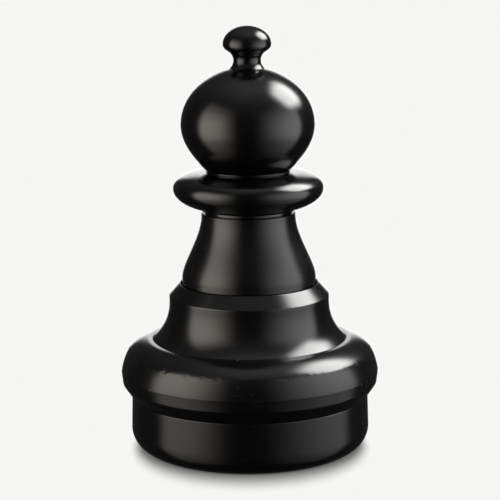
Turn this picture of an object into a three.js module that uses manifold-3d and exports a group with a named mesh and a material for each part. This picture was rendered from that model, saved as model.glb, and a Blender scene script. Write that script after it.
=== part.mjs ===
// Giant lawn-chess pawn: hollow plastic mouldings that plug and screw together.
// A closed drum holds the sand that steadies the piece, and a turned-looking skirt is screwed onto it.
// The waist and its collar lift out of the skirt, and the head screws into the waist through the collar.
// Millimetres, +Z up. The origin is on the ground under the middle of the base.
import * as THREE from 'three';
import { mergeVertices } from 'three/addons/utils/BufferGeometryUtils.js';
import Module from 'manifold-3d';

const wasm = await Module();
wasm.setup();

// ---- Driving dimensions -------------------------------------------------------------------------

const HEIGHT = 430;
const WALL = 3; // wall of every hollow moulding
const GAP = 0.3; // clearance between pieces that rest on each other
const FINE = 28; // facets round the large mouldings
const MEDIUM = 20; // facets round the finial and the plug
const SMALL = 10; // facets round screws and their holes
const CURVE_STEPS = 5; // facets along one curve of an outline

// Drum: the closed tank under the skirt
const DRUM_RADIUS = 121.3; // widest, where the bottom rounding ends
const DRUM_TOP_RADIUS = 120.4;
const DRUM_HEIGHT = 55.8;
const DRUM_ROUNDING = 22.6;
const DECK_THICKNESS = 4;
const FOOT_INNER_RADIUS = 86; // the drum stands on a ring outside this radius
const PANEL_HEIGHT = 4; // the floor inside the foot ring is raised by this much
const PLUG_WELL_RADIUS = 36;
const PLUG_WELL_DEPTH = 24;
const NECK_HEIGHT = 40; // top of the filler neck inside the tank
const SAND_LEVEL = 34;
const REGISTER_RADIUS = 65; // raised ring on the deck that centres the skirt
const REGISTER_HEIGHT = 5;

// Skirt: torus, cove and the socket for the waist
const TORUS_RADIUS = 130.8; // at the parting line
const TORUS_HEIGHT = 80.6;
const TORUS_EDGE_RADIUS = 129.5; // sharp lower edge
const TORUS_EDGE_HEIGHT = 69.3;
const TORUS_RIDGE_RADIUS = 124.2; // the edge between its upright side and its rounded top
const TORUS_RIDGE_HEIGHT = 100.6;
const TORUS_CREST_RADIUS = 103.2; // where the torus's top becomes level
const TORUS_CREST_HEIGHT = 113.8;
const COVE_FOOT_RADIUS = 98.8; // the crease where the cove meets the torus
const COVE_FOOT_HEIGHT = 114.2;
const COVE_RADIUS = 81.1; // the straight stretch above the cove
const CHAMFER_HEIGHT = 158.5;
const SKIRT_TOP = 171;
const SOCKET_MOUTH_RADIUS = 69.6;
const SOCKET_SEAT = 164;
const SOCKET_RADIUS = 60.9;
const SOCKET_BOTTOM = 126;

// Waist: the bell-shaped stretch that stands in the socket
const WAIST_RADIUS = 67.7;
const WAIST_TOP_RADIUS = 47.5;
const WAIST_TOP = 243;
const WAIST_EDGE = 5.5; // rounding of its lower edge
const SPIGOT_RADIUS = 58.2;
const SPIGOT_BOTTOM = 130;
const RING_HEIGHT = 148; // middle of the rubber ring round the spigot
const RING_SECTION = 4;
const COLLAR_SEAT = 235.5;
const COLLAR_SEAT_RADIUS = 44.1;

// Collar: the hollow disc under the head
const COLLAR_RADIUS = 75.8;
const COLLAR_MIDDLE = 268;
const COLLAR_TOP = 284.2;
const COLLAR_FOOT_RADIUS = 43.5;
const COLLAR_BORE_RADIUS = 42.1;
const GASKET_SEAT = 277;
const STEM_BORE_RADIUS = 37.6;

// Head: the ball with its spigot and threaded stem
const BALL_RADIUS = 67.3;
const BALL_MIDDLE = 331.5;
const BALL_UPPER_HEIGHT = 57.8; // from its widest ring to where its top would be
const FINIAL_SEAT = 387.3; // the flat that the finial stands on
const FINIAL_HOLE_RADIUS = 8.4;
const NECK_RADIUS = 41.5;
const STEM_RADIUS = 34;
const STEM_BOTTOM = 208;
const NECK_JOINT = { pitch: 10, turns: 1.7, rootWidth: 4.4, crestWidth: 2, steps: 16 };
const STEM_CREST_RADIUS = 36.8;
const WAIST_NECK_RADIUS = 37.4;
const WAIST_NECK_CREST_RADIUS = 34.9;
const WAIST_NECK_BOTTOM = 213;
const WAIST_THREAD_START = WAIST_NECK_BOTTOM + 3;
const STEM_THREAD_DROP = 3.3; // the stem's ridge lies this far under the waist's, which holds it down

// Finial: the small mushroom knob
const FINIAL_RADIUS = 24.3;
const FINIAL_MIDDLE = 412;
const FINIAL_NECK_RADIUS = 13.8;
const FINIAL_NECK_HEIGHT = 395.5;
const FINIAL_FOOT_RADIUS = 17.6;

// Filler plug
const PLUG_NECK_RADIUS = 17;
const PLUG_NECK_CREST_RADIUS = 15;
const PLUG_STEM_RADIUS = 14.2;
const PLUG_STEM_CREST_RADIUS = 16.4;
const PLUG_FLANGE_RADIUS = 24;
const PLUG_FLANGE_THICKNESS = 4.5;
const PLUG_THREAD_START = PLUG_WELL_DEPTH + 2.2;
const PLUG_THREAD_RISE = 1.9; // the plug's ridge lies this far above the neck's, which holds it up
const PLUG_JOINT = { pitch: 5, turns: 2.2, rootWidth: 2.2, crestWidth: 1, steps: 16 };

// Screws that hold the skirt on the drum
const SCREW_COUNT = 4;
const SCREW_CIRCLE = 76;
const SCREW_RADIUS = 2;
const SCREW_LENGTH = 24;
const SCREW_HEAD_RADIUS = 4.6;
const SCREW_HEAD_HEIGHT = 3;
const WASHER_RADIUS = 5.8;
const WASHER_THICKNESS = 1.2;
const SCREW_WELL_RADIUS = 6.6;
const SCREW_BOSS_RADIUS = 6.5;
const SCREW_BOSS_TOP = 84;

// ---- Materials ----------------------------------------------------------------------------------

const blackPlastic = () => new THREE.MeshStandardMaterial({ color: 0x141312, roughness: 0.32, metalness: 0 });
const glossyBlackPlastic = () => new THREE.MeshStandardMaterial({ color: 0x141212, roughness: 0.24, metalness: 0 });
const rubber = () => new THREE.MeshStandardMaterial({ color: 0x1b1b1b, roughness: 0.8, metalness: 0 });
const zincSteel = () => new THREE.MeshStandardMaterial({ color: 0xb4b8bc, roughness: 0.35, metalness: 1 });
const sand = () => new THREE.MeshStandardMaterial({ color: 0xb79a6b, roughness: 0.95, metalness: 0 });

// ---- Geometry helpers ---------------------------------------------------------------------------

const at = (radius, height) => new THREE.Vector2(radius, height);

// Points along a cubic curve in the radius-height plane, without its first point.
function curve(start, handleA, handleB, end, steps = CURVE_STEPS) {
  return new THREE.CubicBezierCurve(start, handleA, handleB, end).getPoints(steps).slice(1);
}

// Points along a circular or elliptical arc from one angle to another, in degrees, both ends included.
function arc(centre, radiusR, radiusZ, fromDegrees, toDegrees, steps = CURVE_STEPS) {
  const points = [];
  for (let i = 0; i <= steps; i++) {
    const angle = THREE.MathUtils.degToRad(fromDegrees + (toDegrees - fromDegrees) * i / steps);
    points.push(at(centre.x + radiusR * Math.cos(angle), centre.y + radiusZ * Math.sin(angle)));
  }
  return points;
}

// The same outline moved sideways by a distance, to the left of its direction of travel.
function offset(points, distance) {
  return points.map((point, i) => {
    const before = points[Math.max(i - 1, 0)];
    const after = points[Math.min(i + 1, points.length - 1)];
    const along = after.clone().sub(before).normalize();
    return at(point.x - along.y * distance, point.y + along.x * distance);
  });
}

// One closed, merged mesh with its faces pointing out.
function closed(geometry) {
  geometry.deleteAttribute('normal');
  geometry.deleteAttribute('uv');
  const merged = mergeVertices(geometry, 1e-4);
  const position = merged.getAttribute('position');
  const index = merged.getIndex().array;
  const faces = [];
  let volume = 0;
  const [a, b, c] = [new THREE.Vector3(), new THREE.Vector3(), new THREE.Vector3()];
  for (let i = 0; i < index.length; i += 3) {
    const [p, q, r] = index.slice(i, i + 3);
    if (p === q || q === r || r === p) continue;
    faces.push([p, q, r]);
    volume += a.fromBufferAttribute(position, p).dot(
      b.fromBufferAttribute(position, q).cross(c.fromBufferAttribute(position, r)));
  }
  merged.setIndex(faces.flatMap(([p, q, r]) => (volume < 0 ? [p, r, q] : [p, q, r])));
  return merged;
}

function toSolid(geometry) {
  const mesh = closed(geometry);
  return new wasm.Manifold(new wasm.Mesh({
    numProp: 3,
    vertProperties: new Float32Array(mesh.getAttribute('position').array),
    triVerts: new Uint32Array(mesh.getIndex().array),
  }));
}

function toGeometry(solid) {
  const mesh = solid.getMesh();
  const geometry = new THREE.BufferGeometry();
  geometry.setAttribute('position', new THREE.Float32BufferAttribute(mesh.vertProperties, 3));
  geometry.setIndex(Array.from(mesh.triVerts));
  return geometry;
}

// A body of revolution about the Z axis. The outline ends on the axis or closes on itself.
function revolve(points, facets = FINE) {
  return new THREE.LatheGeometry(points, facets).rotateX(Math.PI / 2);
}

// A ring whose section is the closed outline through the points.
function ring(points, facets = FINE) {
  return revolve([...points, points[0]], facets);
}

function cylinder(radius, bottom, top, facets = SMALL) {
  return revolve([at(0, bottom), at(radius, bottom), at(radius, top), at(0, top)], facets);
}

function tube(outerRadius, innerRadius, bottom, top, facets = MEDIUM) {
  return ring([at(innerRadius, bottom), at(outerRadius, bottom), at(outerRadius, top),
    at(innerRadius, top)], facets);
}

// Places round the screw circle, one for each screw.
function screwPlaces() {
  const places = [];
  for (let i = 0; i < SCREW_COUNT; i++) {
    const angle = (i + 0.5) * 2 * Math.PI / SCREW_COUNT;
    places.push(new THREE.Vector3(SCREW_CIRCLE * Math.cos(angle), SCREW_CIRCLE * Math.sin(angle), 0));
  }
  return places;
}

// A helical ridge from a root radius to a crest radius. It rises anticlockwise, as a right-hand thread
// does, and its ends run out to nothing. The root is sunk into its cylinder so that the two join.
function threadRidge(joint, rootRadius, crestRadius, startHeight) {
  const inward = Math.sign(rootRadius - crestRadius);
  const sunkRadius = rootRadius + inward * 0.8;
  const count = Math.round(joint.turns * joint.steps);
  const positions = [];
  for (let i = 0; i <= count; i++) {
    const angle = 2 * Math.PI * i / joint.steps;
    const height = startHeight + joint.pitch * i / joint.steps;
    const fullness = Math.min(1, 0.15 + Math.min(i, count - i) / 3);
    const crest = THREE.MathUtils.lerp(rootRadius, crestRadius, fullness);
    const corners = [
      [sunkRadius, -joint.rootWidth / 2],
      [crest, -joint.crestWidth / 2],
      [crest, joint.crestWidth / 2],
      [sunkRadius, joint.rootWidth / 2],
    ];
    for (const [radius, lift] of corners) {
      positions.push(radius * Math.cos(angle), radius * Math.sin(angle), height + lift);
    }
  }
  const index = [0, 1, 2, 0, 2, 3];
  for (let i = 0; i < count; i++) {
    for (let side = 0; side < 4; side++) {
      const a = 4 * i + side;
      const b = 4 * i + (side + 1) % 4;
      index.push(a, a + 4, b, b, a + 4, b + 4);
    }
  }
  const end = 4 * count;
  index.push(end, end + 2, end + 1, end, end + 3, end + 2);
  const geometry = new THREE.BufferGeometry();
  geometry.setAttribute('position', new THREE.Float32BufferAttribute(positions, 3));
  geometry.setIndex(index);
  return geometry;
}

function named(name, geometry, material) {
  const mesh = new THREE.Mesh(closed(geometry), material);
  mesh.name = name;
  return mesh;
}

// ---- Base ---------------------------------------------------------------------------------------

// The bottom rounding of the drum, from the foot ring up to the wall.
function drumRounding(radius) {
  const centre = at(DRUM_RADIUS - DRUM_ROUNDING, DRUM_ROUNDING);
  return arc(centre, radius, radius, -90, 0, 4);
}

function drum() {
  const deckUnderside = DRUM_HEIGHT - DECK_THICKNESS;
  const shell = toSolid(revolve([
    at(0, deckUnderside),
    at(DRUM_TOP_RADIUS - WALL, deckUnderside),
    ...drumRounding(DRUM_ROUNDING - WALL).reverse(),
    at(FOOT_INNER_RADIUS + 3, WALL),
    at(FOOT_INNER_RADIUS + 1, PANEL_HEIGHT + WALL),
    at(PLUG_WELL_RADIUS + 3.5, PANEL_HEIGHT + WALL),
    at(PLUG_WELL_RADIUS + 1.5, PLUG_WELL_DEPTH + WALL),
    at(PLUG_NECK_RADIUS + WALL, PLUG_WELL_DEPTH + WALL),
    at(PLUG_NECK_RADIUS + WALL, NECK_HEIGHT),
    at(PLUG_NECK_RADIUS, NECK_HEIGHT),
    at(PLUG_NECK_RADIUS, PLUG_WELL_DEPTH),
    at(PLUG_WELL_RADIUS - 2, PLUG_WELL_DEPTH),
    at(PLUG_WELL_RADIUS, PANEL_HEIGHT),
    at(FOOT_INNER_RADIUS - 2, PANEL_HEIGHT),
    at(FOOT_INNER_RADIUS, 0),
    ...drumRounding(DRUM_ROUNDING),
    at(DRUM_TOP_RADIUS, DRUM_HEIGHT - 1.2),
    at(DRUM_TOP_RADIUS - 1.2, DRUM_HEIGHT),
    at(REGISTER_RADIUS + 0.5, DRUM_HEIGHT),
    at(REGISTER_RADIUS, DRUM_HEIGHT + REGISTER_HEIGHT),
    at(REGISTER_RADIUS - WALL, DRUM_HEIGHT + REGISTER_HEIGHT),
    at(REGISTER_RADIUS - WALL, DRUM_HEIGHT),
    at(0, DRUM_HEIGHT),
  ]));
  const thread = threadRidge(PLUG_JOINT, PLUG_NECK_RADIUS, PLUG_NECK_CREST_RADIUS, PLUG_THREAD_START);
  let solid = shell.add(toSolid(thread));
  for (const place of screwPlaces()) {
    const pillar = cylinder(SCREW_WELL_RADIUS + WALL - 0.5, PANEL_HEIGHT + 1, deckUnderside + 1);
    solid = solid.add(toSolid(pillar.translate(place.x, place.y, 0)));
  }
  for (const place of screwPlaces()) {
    const well = cylinder(SCREW_WELL_RADIUS, -1, deckUnderside);
    const hole = cylinder(SCREW_RADIUS + 0.6, deckUnderside - 1, DRUM_HEIGHT + 1);
    solid = solid.subtract(toSolid(well.translate(place.x, place.y, 0)));
    solid = solid.subtract(toSolid(hole.translate(place.x, place.y, 0)));
  }
  return toGeometry(solid);
}

// The sand lies round the plug well and the screw pillars.
function sandFill() {
  const bed = toSolid(ring([
    at(PLUG_NECK_RADIUS + WALL + 0.5, PLUG_WELL_DEPTH + WALL + 0.4),
    at(PLUG_WELL_RADIUS + 2, PLUG_WELL_DEPTH + WALL + 0.4),
    at(PLUG_WELL_RADIUS + 4, PANEL_HEIGHT + WALL + 0.4),
    at(FOOT_INNER_RADIUS + 1.5, PANEL_HEIGHT + WALL + 0.4),
    at(FOOT_INNER_RADIUS + 3.6, WALL + 0.4),
    ...drumRounding(DRUM_ROUNDING - WALL - 0.4),
    at(DRUM_RADIUS - WALL - 0.8, SAND_LEVEL),
    at(PLUG_NECK_RADIUS + WALL + 0.5, SAND_LEVEL),
  ]));
  let solid = bed;
  for (const place of screwPlaces()) {
    const clear = cylinder(SCREW_WELL_RADIUS + WALL, 0, DRUM_HEIGHT);
    solid = solid.subtract(toSolid(clear.translate(place.x, place.y, 0)));
  }
  return toGeometry(solid);
}

// The outside of the torus and the cove, from the lower edge up to the chamfer.
function skirtOutside() {
  const parting = at(TORUS_RADIUS, TORUS_HEIGHT);
  const ridge = at(TORUS_RIDGE_RADIUS, TORUS_RIDGE_HEIGHT);
  const crest = at(TORUS_CREST_RADIUS, TORUS_CREST_HEIGHT);
  const foot = at(COVE_FOOT_RADIUS, COVE_FOOT_HEIGHT);
  return [
    at(TORUS_EDGE_RADIUS, TORUS_EDGE_HEIGHT),
    parting,
    ...curve(parting, at(129.8, 88.2), at(127.4, 94.8), ridge, 3),
    ...curve(ridge, at(115.7, 109.1), at(106.7, TORUS_CREST_HEIGHT), crest, 4),
    foot,
    ...curve(foot, at(90.9, 120.6), at(COVE_RADIUS, 132.5), at(COVE_RADIUS, 153)),
    at(COVE_RADIUS, CHAMFER_HEIGHT),
  ];
}

function skirt() {
  const seatOnDrum = DRUM_HEIGHT + GAP;
  const flangeTop = seatOnDrum + WALL;
  const flangeInner = REGISTER_RADIUS + 0.9;
  const socketOutside = SOCKET_RADIUS + WALL;
  const outside = skirtOutside();
  const inside = offset(outside, WALL).reverse();
  const shell = toSolid(ring([
    at(flangeInner, seatOnDrum),
    at(DRUM_TOP_RADIUS, seatOnDrum),
    ...outside,
    at(SOCKET_MOUTH_RADIUS + 1.2, SKIRT_TOP - 0.6),
    at(SOCKET_MOUTH_RADIUS + 0.6, SKIRT_TOP),
    at(SOCKET_MOUTH_RADIUS, SKIRT_TOP - 0.6),
    at(SOCKET_MOUTH_RADIUS, SOCKET_SEAT),
    at(SOCKET_RADIUS, SOCKET_SEAT),
    at(SOCKET_RADIUS, SOCKET_BOTTOM),
    at(socketOutside, SOCKET_BOTTOM),
    at(socketOutside, SOCKET_SEAT - WALL),
    at(SOCKET_MOUTH_RADIUS + WALL, SOCKET_SEAT - WALL),
    at(COVE_RADIUS - WALL, CHAMFER_HEIGHT - 2),
    ...inside.slice(1, -1),
    at(TORUS_EDGE_RADIUS - WALL, TORUS_EDGE_HEIGHT + 1),
    at(DRUM_TOP_RADIUS - 1, flangeTop),
    at(flangeInner, flangeTop),
  ]));
  let solid = shell;
  for (const place of screwPlaces()) {
    const boss = cylinder(SCREW_BOSS_RADIUS, seatOnDrum + 1, SCREW_BOSS_TOP);
    solid = solid.add(toSolid(boss.translate(place.x, place.y, 0)));
  }
  for (const place of screwPlaces()) {
    const pilot = cylinder(SCREW_RADIUS + GAP + 0.05, seatOnDrum - 1, SCREW_BOSS_TOP - WALL);
    solid = solid.subtract(toSolid(pilot.translate(place.x, place.y, 0)));
  }
  return toGeometry(solid);
}

// A pan-head screw that points up, with a recess for the driver in its head.
function screw(headTop, length) {
  const headBottom = headTop - SCREW_HEAD_HEIGHT;
  return revolve([
    at(0, headBottom + 1.6),
    at(1.6, headBottom + 1.6),
    at(1.9, headBottom),
    at(SCREW_HEAD_RADIUS - 1.4, headBottom),
    at(SCREW_HEAD_RADIUS, headBottom + 1.4),
    at(SCREW_HEAD_RADIUS, headTop),
    at(SCREW_RADIUS, headTop),
    at(SCREW_RADIUS, headTop + length - 2),
    at(0, headTop + length),
  ], SMALL);
}

function washer(radius, top) {
  return tube(radius, SCREW_RADIUS + GAP + 0.05, top - WASHER_THICKNESS, top, SMALL);
}

function baseScrews() {
  const meshes = [];
  const washerTop = DRUM_HEIGHT - DECK_THICKNESS - GAP;
  const headTop = washerTop - WASHER_THICKNESS - GAP;
  screwPlaces().forEach((place, i) => {
    const screwMesh = named(`base_screw_${i + 1}`, screw(headTop, SCREW_LENGTH), zincSteel());
    const washerMesh = named(`base_washer_${i + 1}`, washer(WASHER_RADIUS, washerTop), zincSteel());
    screwMesh.position.copy(place);
    washerMesh.position.copy(place);
    meshes.push(screwMesh, washerMesh);
  });
  return meshes;
}

// ---- Filler plug --------------------------------------------------------------------------------

const PLUG_GASKET_TOP = PLUG_WELL_DEPTH - GAP;
const PLUG_GASKET_THICKNESS = 1.6;
const PLUG_FLANGE_TOP = PLUG_GASKET_TOP - PLUG_GASKET_THICKNESS - GAP;

function plugGasket() {
  return tube(PLUG_FLANGE_RADIUS - 1, PLUG_NECK_RADIUS + 0.4,
    PLUG_GASKET_TOP - PLUG_GASKET_THICKNESS, PLUG_GASKET_TOP);
}

// A flange, a threaded cup and a finger bar across the hollow of the cup.
function fillerPlug() {
  const flangeBottom = PLUG_FLANGE_TOP - PLUG_FLANGE_THICKNESS;
  const stemTop = NECK_HEIGHT - 2;
  const cupRadius = PLUG_STEM_RADIUS - 2.6;
  const body = toSolid(revolve([
    at(0, stemTop - 2.6),
    at(cupRadius, stemTop - 2.6),
    at(cupRadius, flangeBottom),
    at(PLUG_FLANGE_RADIUS - 1, flangeBottom),
    at(PLUG_FLANGE_RADIUS, flangeBottom + 1),
    at(PLUG_FLANGE_RADIUS, PLUG_FLANGE_TOP),
    at(PLUG_STEM_RADIUS, PLUG_FLANGE_TOP),
    at(PLUG_STEM_RADIUS, stemTop - 1),
    at(PLUG_STEM_RADIUS - 1, stemTop),
    at(0, stemTop),
  ], MEDIUM));
  const barHeight = 9;
  const bar = new THREE.BoxGeometry(2 * cupRadius + 2, 4.5, barHeight);
  bar.translate(0, 0, flangeBottom + barHeight / 2);
  const thread = threadRidge(PLUG_JOINT, PLUG_STEM_RADIUS, PLUG_STEM_CREST_RADIUS,
    PLUG_THREAD_START + PLUG_THREAD_RISE);
  return toGeometry(body.add(toSolid(bar)).add(toSolid(thread)));
}

// ---- Waist and collar ---------------------------------------------------------------------------

// The outside of the waist from its rounded lower edge to its top rim.
function waistOutside() {
  const shoulder = SOCKET_SEAT + GAP;
  const edgeCentre = at(WAIST_RADIUS - WAIST_EDGE, shoulder + WAIST_EDGE);
  const bell = at(WAIST_RADIUS, 177);
  return [
    ...arc(edgeCentre, WAIST_EDGE, WAIST_EDGE, -90, 0, 3),
    bell,
    ...curve(bell, at(WAIST_RADIUS, 191.6), at(WAIST_TOP_RADIUS, 218.2), at(WAIST_TOP_RADIUS, 240), 6),
    at(WAIST_TOP_RADIUS, WAIST_TOP - 1),
    at(WAIST_TOP_RADIUS - 1, WAIST_TOP),
  ];
}

function waist() {
  const shoulder = SOCKET_SEAT + GAP;
  const grooveRadius = SPIGOT_RADIUS - 2.2;
  const grooveHalf = RING_SECTION / 2 + 0.4;
  const spigotInner = SPIGOT_RADIUS - WALL - 1.5;
  const neckOutside = WAIST_NECK_RADIUS + WALL;
  const outside = waistOutside();
  const bellInside = offset(outside.slice(4, -3), WALL).reverse();
  const shell = toSolid(ring([
    at(spigotInner, SPIGOT_BOTTOM),
    at(SPIGOT_RADIUS - 1, SPIGOT_BOTTOM),
    at(SPIGOT_RADIUS, SPIGOT_BOTTOM + 1.5),
    at(SPIGOT_RADIUS, RING_HEIGHT - grooveHalf),
    at(grooveRadius, RING_HEIGHT - grooveHalf),
    at(grooveRadius, RING_HEIGHT + grooveHalf),
    at(SPIGOT_RADIUS, RING_HEIGHT + grooveHalf),
    at(SPIGOT_RADIUS, shoulder),
    ...outside,
    at(COLLAR_SEAT_RADIUS, WAIST_TOP),
    at(COLLAR_SEAT_RADIUS, COLLAR_SEAT),
    at(WAIST_NECK_RADIUS, COLLAR_SEAT),
    at(WAIST_NECK_RADIUS, WAIST_NECK_BOTTOM),
    at(neckOutside, WAIST_NECK_BOTTOM),
    at(neckOutside, COLLAR_SEAT - WALL - 1),
    at(COLLAR_SEAT_RADIUS + 0.4, COLLAR_SEAT - WALL - 1),
    ...bellInside,
    at(WAIST_RADIUS - WALL, shoulder + WAIST_EDGE),
    at(spigotInner, shoulder + 2),
  ]));
  const thread = threadRidge(NECK_JOINT, WAIST_NECK_RADIUS, WAIST_NECK_CREST_RADIUS, WAIST_THREAD_START);
  return toGeometry(shell.add(toSolid(thread)));
}

// The rubber ring that makes the waist fit snugly in the socket.
function spigotRing() {
  const inner = SPIGOT_RADIUS - 2.2 + GAP;
  const centre = at(inner + RING_SECTION / 2, RING_HEIGHT);
  return revolve(arc(centre, RING_SECTION / 2, RING_SECTION / 2, 0, 360, 8));
}

// A hollow ring with a vent hole into its bore.
function collar() {
  const footBottom = COLLAR_SEAT + GAP + 0.2;
  const rimInner = COLLAR_BORE_RADIUS + 1.4;
  const lower = [
    at(47.6, 246.4),
    ...curve(at(47.6, 246.4), at(52, 249), at(COLLAR_RADIUS, 253), at(COLLAR_RADIUS, COLLAR_MIDDLE), 6),
  ];
  const upper = curve(at(COLLAR_RADIUS, COLLAR_MIDDLE), at(COLLAR_RADIUS, 277.4), at(61.4, 284.6),
    at(rimInner, COLLAR_TOP), 6);
  const skin = [...lower, ...upper];
  const body = toSolid(ring([
    at(STEM_BORE_RADIUS, footBottom),
    at(COLLAR_FOOT_RADIUS, footBottom),
    at(COLLAR_FOOT_RADIUS, 246),
    ...skin,
    at(COLLAR_BORE_RADIUS, COLLAR_TOP - 0.8),
    at(COLLAR_BORE_RADIUS, GASKET_SEAT),
    at(STEM_BORE_RADIUS, GASKET_SEAT),
  ]));
  const boreWall = COLLAR_BORE_RADIUS + WALL;
  const hollow = toSolid(ring([
    at(boreWall, 251),
    ...offset(skin.slice(2, -3), WALL),
    at(boreWall, COLLAR_TOP - WALL - 0.4),
  ]));
  const vent = cylinder(2.5, 0, boreWall + 5).rotateY(Math.PI / 2).translate(0, 0, COLLAR_MIDDLE - 5);
  return toGeometry(body.subtract(hollow).subtract(toSolid(vent)));
}

// ---- Head ---------------------------------------------------------------------------------------

function neckGasket() {
  return tube(COLLAR_BORE_RADIUS - 0.4, STEM_BORE_RADIUS + GAP, GASKET_SEAT + GAP, GASKET_SEAT + 2, FINE);
}

// The outside of the ball from its spigot to the flat under the finial.
function ballOutside() {
  const throat = at(43.6, 287.3);
  const widest = at(BALL_RADIUS, BALL_MIDDLE);
  const seatAngle = THREE.MathUtils.radToDeg(Math.asin((FINIAL_SEAT - BALL_MIDDLE) / BALL_UPPER_HEIGHT));
  return [
    throat,
    ...curve(throat, at(52, 295.5), at(BALL_RADIUS, 312), widest, 6),
    ...arc(at(0, BALL_MIDDLE), BALL_RADIUS, BALL_UPPER_HEIGHT, 0, seatAngle, 8).slice(1),
  ];
}

function head() {
  const shoulder = GASKET_SEAT + 2 + GAP;
  const stemInner = STEM_RADIUS - WALL;
  const bossRadius = 16;
  const bossBottom = FINIAL_SEAT - 7;
  const outside = ballOutside();
  const inside = offset(outside.slice(1, -3), WALL).reverse();
  const shell = toSolid(ring([
    at(stemInner, STEM_BOTTOM),
    at(STEM_RADIUS - 1, STEM_BOTTOM),
    at(STEM_RADIUS, STEM_BOTTOM + 1),
    at(STEM_RADIUS, shoulder),
    at(NECK_RADIUS, shoulder),
    at(NECK_RADIUS, 286.2),
    ...outside,
    at(FINIAL_HOLE_RADIUS, FINIAL_SEAT),
    at(FINIAL_HOLE_RADIUS, bossBottom),
    at(bossRadius, bossBottom),
    ...inside,
    at(NECK_RADIUS - WALL, 287),
    at(NECK_RADIUS - WALL, shoulder + WALL),
    at(stemInner, shoulder + WALL),
  ]));
  const thread = threadRidge(NECK_JOINT, STEM_RADIUS, STEM_CREST_RADIUS, WAIST_THREAD_START - STEM_THREAD_DROP);
  return toGeometry(shell.add(toSolid(thread)));
}

// ---- Finial -------------------------------------------------------------------------------------

const FINIAL_WASHER_TOP = FINIAL_SEAT - 7 - GAP;

function finial() {
  const foot = at(FINIAL_FOOT_RADIUS, FINIAL_SEAT + GAP);
  const neck = at(FINIAL_NECK_RADIUS, FINIAL_NECK_HEIGHT);
  const widest = at(FINIAL_RADIUS, FINIAL_MIDDLE);
  const tenonRadius = FINIAL_HOLE_RADIUS - 0.4;
  const tenonBottom = FINIAL_SEAT - 6.6;
  const pilotRadius = SCREW_RADIUS + GAP + 0.05;
  return revolve([
    at(0, tenonBottom + SCREW_LENGTH - 2),
    at(pilotRadius, tenonBottom + SCREW_LENGTH - 2),
    at(pilotRadius, tenonBottom),
    at(tenonRadius, tenonBottom),
    at(tenonRadius, foot.y),
    foot,
    ...curve(foot, at(16, 389.3), at(FINIAL_NECK_RADIUS, 391.5), neck, 5),
    ...curve(neck, at(FINIAL_NECK_RADIUS, 404.5), at(FINIAL_RADIUS, 404), widest, 7),
    ...arc(at(0, FINIAL_MIDDLE), FINIAL_RADIUS, HEIGHT - FINIAL_MIDDLE, 0, 90, 8).slice(1, -1),
    at(0, HEIGHT),
  ], MEDIUM);
}

function finialFastening() {
  const washerRadius = 13;
  const headTop = FINIAL_WASHER_TOP - WASHER_THICKNESS - GAP;
  return [
    named('finial_washer', washer(washerRadius, FINIAL_WASHER_TOP), zincSteel()),
    named('finial_screw', screw(headTop, SCREW_LENGTH - 4), zincSteel()),
  ];
}

// ---- Assembly -----------------------------------------------------------------------------------

const pawn = new THREE.Group();
pawn.add(
  named('base_drum', drum(), blackPlastic()),
  named('sand_fill', sandFill(), sand()),
  named('skirt', skirt(), blackPlastic()),
  ...baseScrews(),
  named('plug_gasket', plugGasket(), rubber()),
  named('filler_plug', fillerPlug(), blackPlastic()),
  named('waist', waist(), blackPlastic()),
  named('spigot_ring', spigotRing(), rubber()),
  named('collar', collar(), glossyBlackPlastic()),
  named('neck_gasket', neckGasket(), rubber()),
  named('head', head(), glossyBlackPlastic()),
  named('finial', finial(), glossyBlackPlastic()),
  ...finialFastening(),
);

export default pawn;
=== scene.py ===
# Giant lawn-chess pawn in a white studio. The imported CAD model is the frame. Each moulding, seal, screw
# and the sand is rebuilt over its CAD node as a finely turned mesh with its own procedural material.
import math

import bmesh
import bpy
from mathutils import Matrix, Vector, noise


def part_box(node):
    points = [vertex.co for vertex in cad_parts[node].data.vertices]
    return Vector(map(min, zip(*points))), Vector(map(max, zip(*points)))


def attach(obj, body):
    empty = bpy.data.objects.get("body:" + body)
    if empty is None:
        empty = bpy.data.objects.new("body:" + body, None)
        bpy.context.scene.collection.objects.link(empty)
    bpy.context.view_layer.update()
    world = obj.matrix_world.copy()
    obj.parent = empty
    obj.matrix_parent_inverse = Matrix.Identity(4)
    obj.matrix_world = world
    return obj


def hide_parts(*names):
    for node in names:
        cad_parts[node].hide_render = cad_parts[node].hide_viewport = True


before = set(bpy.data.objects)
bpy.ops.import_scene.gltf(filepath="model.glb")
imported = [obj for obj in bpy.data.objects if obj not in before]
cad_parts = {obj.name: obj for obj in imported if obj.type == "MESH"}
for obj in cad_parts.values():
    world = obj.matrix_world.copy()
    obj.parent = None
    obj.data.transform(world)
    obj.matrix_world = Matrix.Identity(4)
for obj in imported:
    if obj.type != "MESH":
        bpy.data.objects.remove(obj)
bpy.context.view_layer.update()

MM = 0.001
WHITE = (0.9216, 0.9216, 0.9047, 1.0)  # of the background and the floor

scene = bpy.context.scene
scene.view_settings.view_transform = "Standard"
scene.view_settings.look = "None"


# ---- Small helpers ------------------------------------------------------------------------------


def box_mm(node):
    """Lowest and highest corner of a CAD node, in millimetres."""
    low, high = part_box(node)
    return Vector(low) / MM, Vector(high) / MM


def smooth(low, high, value):
    """0 below low, 1 above high, and an S curve between them."""
    share = min(1.0, max(0.0, (value - low) / (high - low)))
    return share * share * (3 - 2 * share)


def along(points, value):
    """Height at a value on the straight lines through (value, height) points."""
    if value <= points[0][0]:
        return points[0][1]
    for (a, height_a), (b, height_b) in zip(points, points[1:]):
        if value <= b:
            return height_a + (height_b - height_a) * (value - a) / (b - a)
    return points[-1][1]


def link(name, mesh):
    """A new object in the scene, from a mesh, camera or lamp."""
    made = bpy.data.objects.new(name, mesh)
    scene.collection.objects.link(made)
    return made


# ---- Camera -------------------------------------------------------------------------------------


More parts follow.
